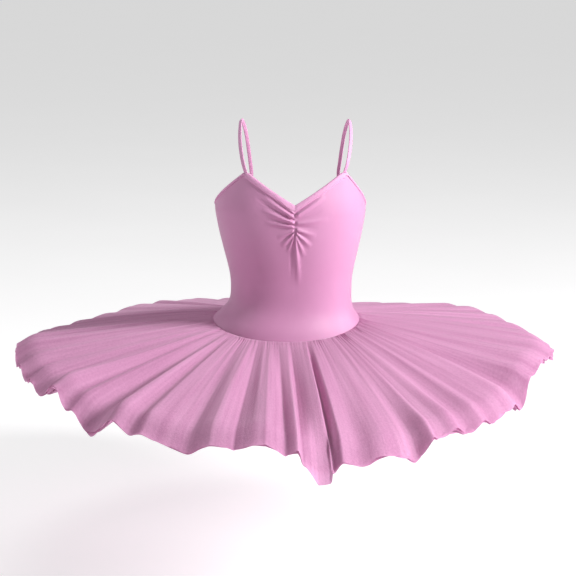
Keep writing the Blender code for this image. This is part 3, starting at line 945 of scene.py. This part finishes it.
@dataclass
class ShoulderStraps:
    """The two narrow straps, each seated on a front and a back corner.

    Attributes:
        line: The top edge that carries them.
        path: Places across, forward and up of the +X strap's middle.
        width: A strap's width.
        thickness: Its thickness.
        slope: Its width's direction at the top of the shoulder.
        stations: How many sections it is drawn through.
        gap: How far above the edge its seats are.
    """

    line: TopLine
    path: tuple[tuple[float, float, float], ...] = (
        (0.0718, -0.0505, -0.0500),
        (0.0748, -0.0425, -0.0330),
        (0.0762, -0.0310, -0.0180),
        (0.0762, -0.0170, -0.0070),
        (0.0752, -0.0010, 0.0009),
        (0.0722, 0.0160, -0.0065),
        (0.0690, 0.0310, -0.0220),
        (0.0664, 0.0440, -0.0420),
        (0.0640, 0.0540, -0.0640),
        (0.0620, 0.0590, -0.0860),
    )
    width: float = 0.0054
    thickness: float = 0.0017
    slope: tuple[float, float, float] = (0.72, 0.0, -0.69)
    stations: int = 96
    gap: float = 0.0003

    def seat(
        self, places: tuple[float, float], height: float, front: bool, side: Side
    ) -> tuple[Points, Points]:
        """Returns the middle of a seat and the direction along it, carried to the +X side."""
        turn = self.line.front_angle if front else self.line.back_angle
        flip = np.array([side.value, 1, 1])
        ends = [self.line.body.point(turn(side.value * x), height + self.gap) * flip for x in places]
        return (ends[0] + ends[1]) / 2, ends[1] - ends[0]

    def ring(self, share: float, side: Side) -> Points:
        """Returns the strap's section at a share of its length."""
        start, front = self.seat(self.line.front_seat, self.line.corner, True, side)
        finish, behind = self.seat(self.line.back_seat, self.line.back_strap, False, side)
        path = np.array([start, *self.path, finish])
        rows = SizeTable(tuple((i / (len(path) - 1), *map(float, p)) for i, p in enumerate(path)))

        def place(at: float) -> Vector:
            """Returns a place on the strap's middle line."""
            return Vector([float(rows.read(at, k)) for k in (1, 2, 3)])

        run = (place(min(1, share + 0.01)) - place(max(0, share - 0.01))).normalized()
        run = Vector((0, 0, 1)).lerp(run, float(eased(share / 0.07)))
        run = run.lerp(Vector((0, 0, -1)), float(eased((share - 0.93) / 0.07)))
        top = Vector(self.slope)
        if share < 0.45:
            width = Vector(front).normalized().lerp(top, float(eased(share / 0.45)))
        else:
            width = top.lerp(Vector(behind).normalized(), float(eased((share - 0.45) / 0.55)))
        width = (width - run * width.dot(run)).normalized()
        face = width.cross(run).normalized()
        turns = np.linspace(0, 2 * math.pi, 17)[:-1] + math.pi / 16
        across = np.sign(np.cos(turns)) * np.abs(np.cos(turns)) ** 0.55 * self.width / 2
        through = np.sign(np.sin(turns)) * np.abs(np.sin(turns)) ** 0.75 * self.thickness / 2
        centre = np.array(place(share))
        made = centre + np.outer(across, width) + np.outer(through, face)
        return made * np.array([side.value, 1, 1])

    def build(self) -> None:
        """Builds both straps."""
        for side, name in ((Side.LEFT, "strap_left"), (Side.RIGHT, "strap_right")):
            rings = np.array([self.ring(s, side) for s in np.linspace(0, 1, self.stations)])
            mesh = ClothMesh()
            mesh.tube(rings if side is Side.LEFT else rings[:, ::-1])
            dressed(mesh.object(f"{name}_elastic", TAPE.material(), 70.0), "strap_elastic", name)


@dataclass
class HipBand:
    """The band of jersey below the waist seam that carries the rows of net.

    Attributes:
        body: The body it follows.
        depth: How far it reaches down.
        thickness: Its wall.
    """

    body: BodyForm
    depth: float = 0.036
    thickness: float = 0.0012

    def build(self) -> None:
        """Builds the band."""
        angles = np.linspace(-180, 180, 181)[:-1]
        down = np.linspace(1, 0, 16)[:, None] * self.depth
        height = self.body.seam_height(angles)[None, :] - 0.0003 - down
        level = np.full(height.shape, self.body.band_level)
        ruck = 0.0004 * waves(angles, 41, 30, 70)[None, :] * (1 - down / self.depth)
        outer = self.body.point(angles[None, :], level, ruck - 0.0002)
        inner = self.body.point(angles[None, :], level, ruck - 0.0002 - self.thickness)
        outer[..., 2] = inner[..., 2] = height
        mesh = ClothMesh()
        mesh.wall(outer, inner, ring=True)
        band = dressed(mesh.object("hip_band_cloth", JERSEY.material()), "bodice_jersey", "hip_band")


@dataclass(frozen=True)
class NetLayer:
    """One layer of net.

    Attributes:
        name: The node that it stands for.
        reach: Its share of the skirt's full reach.
        hang: Its share of the stack's hang.
        droop: How unevenly it hangs, in metres.
        ragged: How uneven its cut edge is, in metres.
        columns: How many points it has round its edge.
        rows: How many points it has from seam to edge.
    """

    name: str
    reach: float
    hang: float
    droop: float
    ragged: float
    columns: int
    rows: int


@dataclass
class NetSkirt:
    """The flat skirt of four gathered net layers, which lie in the same folds.

    Attributes:
        body: The body it is gathered to.
        axis: How far the rim's middle is off the centre.
        rim: Angle, reach, height of the top layer's rim and how far the stack hangs below.
        sweep: Angle at the rim and angle at the seam of the folds, which close up in front.
        front_folds: Angle of the valley and of the ridge of each fold, rise and depth.
        back_count: How many folds there are across the back.
        back_lift: Their rise in millimetres.
        layers: The layers, from the top one down.
        tier: From one layer's row of gathers to the next.
        low_corner: Angles over which the low corner of net starts, hangs and ends.
        low_reach: How far that corner reaches out.
        low_drop: How far it hangs.
        edge_wave: How far the cut edge waves in and out.
        fine_gather: Height of the gathers at the seam.
        close_gather: Height of the creases that run out of them.
        long_crease: Height of the long soft creases.
        hem_wave: How far the edge waves up and down.
        seam_lip: Height of the frill where the top layer leaves the seam.
    """

    body: BodyForm
    axis: float = -0.013
    rim: SizeTable = SizeTable(
        (
            (-180, 0.382, -0.343, 0.016),
            (-161, 0.382, -0.337, 0.016),
            (-146, 0.382, -0.328, 0.016),
            (-132, 0.382, -0.333, 0.016),
            (-119, 0.382, -0.338, 0.016),
            (-106, 0.383, -0.328, 0.016),
            (-95, 0.384, -0.316, 0.015),
            (-84, 0.382, -0.308, 0.014),
            (-74, 0.382, -0.314, 0.015),
            (-66, 0.383, -0.316, 0.016),
            (-58, 0.384, -0.322, 0.016),
            (-51, 0.384, -0.314, 0.014),
            (-42, 0.384, -0.344, 0.017),
            (-35, 0.382, -0.334, 0.016),
            (-25, 0.382, -0.346, 0.017),
            (-15, 0.382, -0.349, 0.018),
            (-10, 0.380, -0.337, 0.017),
            (-2, 0.380, -0.344, 0.018),
            (4, 0.382, -0.349, 0.018),
            (12, 0.382, -0.370, 0.018),
            (19, 0.382, -0.357, 0.017),
            (26, 0.382, -0.366, 0.017),
            (30, 0.382, -0.344, 0.015),
            (36, 0.382, -0.344, 0.015),
            (46, 0.382, -0.339, 0.014),
            (56, 0.380, -0.333, 0.014),
            (61.5, 0.375, -0.310, 0.012),
            (70, 0.374, -0.300, 0.012),
            (80, 0.378, -0.310, 0.013),
            (95, 0.386, -0.318, 0.015),
            (108, 0.384, -0.321, 0.015),
            (116, 0.382, -0.320, 0.016),
            (127, 0.382, -0.311, 0.016),
            (137, 0.382, -0.324, 0.016),
            (149, 0.382, -0.336, 0.016),
            (161, 0.382, -0.345, 0.016),
        )
    ).around()
    sweep: tuple[tuple[float, float], ...] = (
        (-180, -180),
        (-120, -123),
        (-75, -81),
        (-46, -55),
        (-30, -42),
        (-16, -26),
        (-4, -11),
        (2, -1),
        (9, 12),
        (22, 32),
        (38, 52),
        (58, 78),
        (90, 104),
        (130, 137),
    )
    front_folds: tuple[tuple[float, ...], ...] = (
        (-92.5, -89.5, 4, -3),
        (-84.5, -81.5, 5, -4),
        (-75.5, -72.0, 6, -4),
        (-66.0, -63.0, 5, -5),
        (-57.0, -52.0, 8, -4),
        (-48.0, -45.0, 5, -4),
        (-40.0, -35.0, 7, -8),
        (-31.0, -28.0, 5, -3),
        (-18.5, -14.2, 7, -4),
        (-9.5, -3.4, 7, -9),
        (0.3, 2.7, 3, -5),
        (3.5, 8.6, 6, -8),
        (9.3, 11.2, 8, -9),
        (16.5, 23.5, 3, -3),
        (25.5, 29.5, 3, -2),
        (30.5, 35.0, 7, -4),
        (37.5, 42.3, 5, -5),
        (44.8, 52.0, 10, -2),
        (55.5, 61.5, 4, -9),
        (64.5, 70.5, 6, -4),
        (73.5, 79.5, 6, -4),
        (82.5, 89.0, 5, -4),
    )
    back_count: int = 18
    back_lift: float = 3.6
    layers: tuple[NetLayer, ...] = (
        NetLayer("net_layer_1", 0.993, 0.00, 0.0, 0.004, 1440, 56),
        NetLayer("net_layer_2", 0.990, 0.36, 0.0020, 0.006, 960, 36),
        NetLayer("net_layer_3", 0.985, 0.68, 0.0024, 0.007, 960, 36),
        NetLayer("net_layer_4", 0.955, 1.00, 0.0030, 0.008, 960, 36),
    )
    tier: float = 0.0075
    low_corner: tuple[float, float, float, float] = (2.9, 6.2, 8.7, 9.25)
    low_reach: float = 0.020
    low_drop: float = 0.026
    edge_wave: float = 0.0016
    fine_gather: float = 0.0010
    close_gather: float = 0.0011
    long_crease: float = 0.0008
    hem_wave: float = 0.0022
    seam_lip: float = 0.0016

    @staticmethod
    def uneven(number: Points | float, seed: float) -> Points:
        """Returns a fixed uneven value from -1 to 1 for a fold's number."""
        return np.sin(number * 2.399 + seed * 1.7) * np.cos(number * 1.13 + seed)

    def keys(self) -> Points:
        """Returns the valleys and ridges round the whole rim: angle and height in metres."""
        start = self.front_folds[-1][1] + 3.5
        pitch = (self.front_folds[0][0] + 360 - start) / self.back_count
        rows = list(self.front_folds)
        for i in range(self.back_count):
            valley = start + pitch * (i + 0.18 * self.uneven(i, 1) * (i > 0))
            lift = self.back_lift * (1.0 + 0.35 * self.uneven(i, 2))
            rows.append((valley, valley + pitch * 0.45, lift, -0.8 * lift))
        pairs = [((v, d / 1000), (r, u / 1000)) for v, r, u, d in rows]
        return np.array([key for pair in pairs for key in pair])

    def between(self, angle: Points) -> tuple[Points, Points, Points]:
        """Returns the keys on each side of an angle, and the share of the way between them."""
        keys = self.keys()
        turned = (angle - keys[0, 0]) % 360 + keys[0, 0]
        closed = np.append(keys[:, 0], keys[0, 0] + 360)
        low = np.clip(np.searchsorted(closed, turned, "right") - 1, 0, len(keys) - 1)
        share = (turned - closed[low]) / (closed[low + 1] - closed[low])
        return low, (low + 1) % len(keys), share

    def folds(self, angle: Points) -> Points:
        """Returns the height of the folds at the rim, with round ridges and sharp valleys."""
        keys = self.keys()
        i, j, share = self.between(angle)
        falling = keys[i, 1] > keys[j, 1]
        share = np.where(falling, 1.0 - share, share)
        low, high = np.minimum(keys[i, 1], keys[j, 1]), np.maximum(keys[i, 1], keys[j, 1])
        rounded = share + (np.sin(np.pi / 2 * share) - share) * 0.3
        knife = np.exp(-(((turned_half(angle) + 2.0) / 16.0) ** 2))
        return low + (high - low) * (knife * rounded + (1.0 - knife) * eased(share))

    def swept(self, angle: Points) -> Points:
        """Returns the angle at the seam that a fold at each angle of the rim runs from."""
        rows = SizeTable(self.sweep).around().rows
        fixed = [(a, b - 360 * (b > a + 180) + 360 * (b < a - 180)) for a, b in rows]
        return SizeTable(tuple(fixed)).read(turned_half(angle), 1)

    def hanging(self, angle: Points) -> Points:
        """Returns how much of the low corner of net shows at each angle, from 0 to 1."""
        start, lowest, turn, end = self.low_corner
        return np.clip(np.minimum((angle - start) / (lowest - start), (end - angle) / (end - turn)), 0, 1)

    @staticmethod
    def calm(angle: Points) -> Points:
        """Returns how much of the edge's small waves is left: few of them show in front."""
        return 1.0 - 0.65 * np.exp(-(((turned_half(angle) + 10.0) / 34.0) ** 2))

    def wander(self, angle: Points, seed: float) -> Points:
        """Returns an uneven value from 0 to 1 that changes from one fold to the next."""
        i, j, share = self.between(angle)
        low, high = (0.5 + 0.5 * self.uneven(n, seed) for n in (i, j))
        return low + (high - low) * share

    def surface(self, number: int) -> Points:
        """The points of one layer.

        Args:
            number: Which layer, 0 for the top one.

        Returns:
            Rows from the seam to the edge, by columns round the skirt.
        """
        layer = self.layers[number]
        angle = np.linspace(-180, 180, layer.columns + 1)[:-1]
        steps = np.linspace(0, 1, layer.rows)[:, None] ** 1.15
        full = self.rim.read(angle, 1)
        corner = self.hanging(angle) * (number == 0)
        edge = waves(angle, 11 + number, 30, 84) * self.calm(angle)
        ragged = layer.ragged * (self.wander(angle, number + 4) - 0.5) + self.edge_wave * edge
        share = steps * (layer.reach + (ragged + self.low_reach * corner) / full)
        root_angle = self.swept(angle)
        root = self.body.point(root_angle, self.body.band_level, -0.0008)
        sine, cosine = np.sin(np.radians(angle)), np.cos(np.radians(angle))
        x = root[:, 0] + (self.axis + full * sine - root[:, 0]) * share
        y = root[:, 1] + (-full * cosine - root[:, 1]) * share
        z = self.heights(number, angle, root_angle, share)
        return np.stack([x, y, z + self.gathers(number, angle, root_angle, share)], -1)

    def heights(self, number: int, angle: Points, root_angle: Points, share: Points) -> Points:
        """The heights of one layer, before its small gathers.

        Args:
            number: Which layer.
            angle: Angles at the rim.
            root_angle: Angles at the seam.
            share: Shares of the reach, rows by columns.

        Returns:
            The heights: the broad form, the folds on it, and how far this layer hangs below.
        """
        layer = self.layers[number]
        rim, hang = (self.rim.read(angle, c) for c in (2, 3))
        seam = self.body.seam_height(root_angle) - 0.0002
        turn = turned_half(angle)
        plain = eased((turn - 12.0) / 10.0) * (1.0 - eased((turn - 96.0) / 20.0))
        behind = eased((np.abs(turn) - 85) / 20)
        near = range(-15, 16, 3)
        broad = np.mean([self.rim.read(turned_half(turn + off), 2) for off in near], axis=0)
        z = seam + (broad - seam) * (0.35 * share + 0.65 * share**1.25)
        z = z + (rim - broad) * (1.0 - 0.6 * behind) * share ** (2.6 + 2.0 * plain)
        corner = self.hanging(angle)
        centre = 0.45 * np.exp(-(((turn + 2.0) / 13.0) ** 2))
        centre = centre + 0.9 * np.exp(-(((turn - 6.0) / 4.0) ** 2))
        deeper = 1.0 + centre * np.sin(np.pi * np.minimum(share, 1.0))
        lift = self.folds(angle) * (1.0 - corner * eased((share - 0.66) / 0.3)) * (1.0 - 0.30 * plain)
        z = z + lift * deeper * share ** (0.85 + 1.1 * plain) * (1.0 - 0.55 * behind * share**3)
        below = self.tier * number * (1 - np.minimum(share, 1.0)) + 0.9 * hang * layer.hang * share
        for over in range(1, number + 1):
            below = below + self.layers[over].droop * self.wander(angle, over) * share
        curled = eased((share - 0.86) / 0.16) ** 1.5
        turned = hang * (1.0 - layer.hang) * (0.95 - 0.80 * corner) * curled
        level = self.rim.read(7.0, 2) - rim - self.low_drop
        return z - below - turned + level * corner * share**6

    def gathers(self, number: int, angle: Points, root_angle: Points, share: Points) -> Points:
        """The small gathers, soft creases and waved edge of one layer.

        Args:
            number: Which layer.
            angle: Angles at the rim.
            root_angle: Angles at the seam.
            share: Shares of the reach, rows by columns.

        Returns:
            What they add to the height.
        """
        front = np.exp(-(((turned_half(root_angle) + 5) / 22) ** 2))
        drawn = 0.6 + 0.5 * waves(root_angle, 81, 6, 24) - 0.3 * front
        fine = self.fine_gather * waves(root_angle, 21 + number, 150, 260) * np.exp(-share / 0.08)
        fine = fine * np.maximum(drawn, 0.1) * np.minimum(1.0, share / 0.01 + 0.3)
        close = self.close_gather * waves(angle, 31 + number, 90, 170) * share**0.6 * np.exp(-share / 0.30)
        long = self.long_crease * waves(angle, 51, 50, 100) * share**0.7 * (1.0 - 0.5 * share)
        behind = 1.0 - 0.7 * eased((np.abs(turned_half(angle)) - 80) / 25)
        hem = self.hem_wave * waves(angle, 61 + number, 24, 72) * share**5 * behind * self.calm(angle)
        lip = np.exp(-(((share - 0.014) / 0.010) ** 2)) * (0.6 + 0.4 * waves(root_angle, 71, 60, 140))
        return fine + close + long + hem + self.seam_lip * lip * (number == 0)

    def build(self) -> None:
        """Builds the layers."""
        for number, layer in enumerate(self.layers):
            mesh = ClothMesh()
            mesh.sheet(self.surface(number), ring=True, turned=True)
            finish = TOP_NET if number == 0 else UNDER_NET
            slot = "top_net" if number == 0 else "under_net"
            piece = dressed(mesh.object(f"{layer.name}_tulle", finish.material(), 180.0), slot, layer.name)


@dataclass(frozen=True)
class Lamp:
    """A soft area lamp.

    Attributes:
        name: Its name.
        place: Where it stands.
        size: Its side.
        power: Its power in watts.
    """

    name: str
    place: tuple[float, float, float]
    size: float
    power: float

    def hang(self, target: Vector) -> None:
        """Hangs the lamp, facing a target."""
        light = bpy.data.lights.new(self.name, "AREA")
        light.shape = "DISK"
        light.size = self.size
        light.energy = self.power
        made = bpy.data.objects.new(self.name, light)
        made.location = self.place
        made.rotation_euler = (target - Vector(self.place)).to_track_quat("-Z", "Y").to_euler()
        bpy.context.scene.collection.objects.link(made)


@dataclass
class Studio:
    """The pale studio, and the camera at the photograph's viewing angle.

    Attributes:
        target: What stands at the middle of the picture.
        distance: How far away the camera is.
        above: How far above level it looks down from, in degrees.
        roll: How far it is turned about its own axis.
        focal: Its focal length in pixels of a picture 576 wide.
        floor: The floor's height.
        floor_half: Half the floor's side.
        lamps: The lamps.
        sky: The strength of the even light from all round.
    """

    target: tuple[float, float, float] = (-0.0090, 0.0, -0.2378)
    distance: float = 2.6
    above: float = 12.5
    roll: float = 0.3
    focal: float = 1838.0
    floor: float = -0.62
    floor_half: float = 24.0
    lamps: tuple[Lamp, ...] = (
        Lamp("key_lamp", (2.5, -0.85, 1.15), 0.9, 138.0),
        Lamp("side_lamp", (-2.5, -0.1, 0.95), 1.2, 20.0),
        Lamp("top_lamp", (-0.3, 1.0, 2.6), 1.4, 24.0),
    )
    sky: float = 0.12

    def camera(self) -> None:
        """Sets up the camera."""
        tilt, roll = math.radians(self.above), math.radians(self.roll)
        back = Vector((0, -math.cos(tilt), math.sin(tilt)))
        right, up = Vector((1, 0, 0)), Vector((0, math.sin(tilt), math.cos(tilt)))
        turned = right * math.cos(roll) + up * math.sin(roll)
        upward = up * math.cos(roll) - right * math.sin(roll)
        data = bpy.data.cameras.new("main_camera")
        data.sensor_width = 36.0
        data.lens = self.focal / 576 * 36.0
        made = bpy.data.objects.new("main_camera", data)
        place = Vector(self.target) + back * self.distance
        made.matrix_world = Matrix.Translation(place) @ Matrix((turned, upward, back)).transposed().to_4x4()
        bpy.context.scene.collection.objects.link(made)
        bpy.context.scene.camera = made

    def build(self) -> None:
        """Builds the floor, the even light, the lamps and the camera."""
        half = self.floor_half
        grid = np.array([[(x, y, self.floor) for y in (half, -half)] for x in (-half, half)])
        mesh = ClothMesh()
        mesh.sheet(grid, turned=True)
        mesh.object("studio_floor", FloorFinish().material())
        world = bpy.data.worlds.new("even_light")
        world.use_nodes = True
        background = world.node_tree.nodes["Background"]
        background.inputs["Color"].default_value = (1.0, 1.0, 1.0, 1.0)
        background.inputs["Strength"].default_value = self.sky
        bpy.context.scene.world = world
        for lamp in self.lamps:
            lamp.hang(Vector(self.target))
        self.camera()
        bpy.context.scene.view_settings.view_transform = "Standard"


def main() -> None:
    """Builds the dress and its studio."""
    logging.basicConfig(level=logging.INFO, format="%(name)s: %(message)s")
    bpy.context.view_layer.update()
    body = BodyForm()
    line = TopLine(body)
    bodice = Bodice(body, line, PinchedCentre(line.v_height))
    bodice.build()
    BoundEdges(bodice).build()
    ShoulderStraps(line).build()
    HipBand(body).build()
    NetSkirt(body).build()
    Studio().build()


if __name__ == "__main__":
    main()
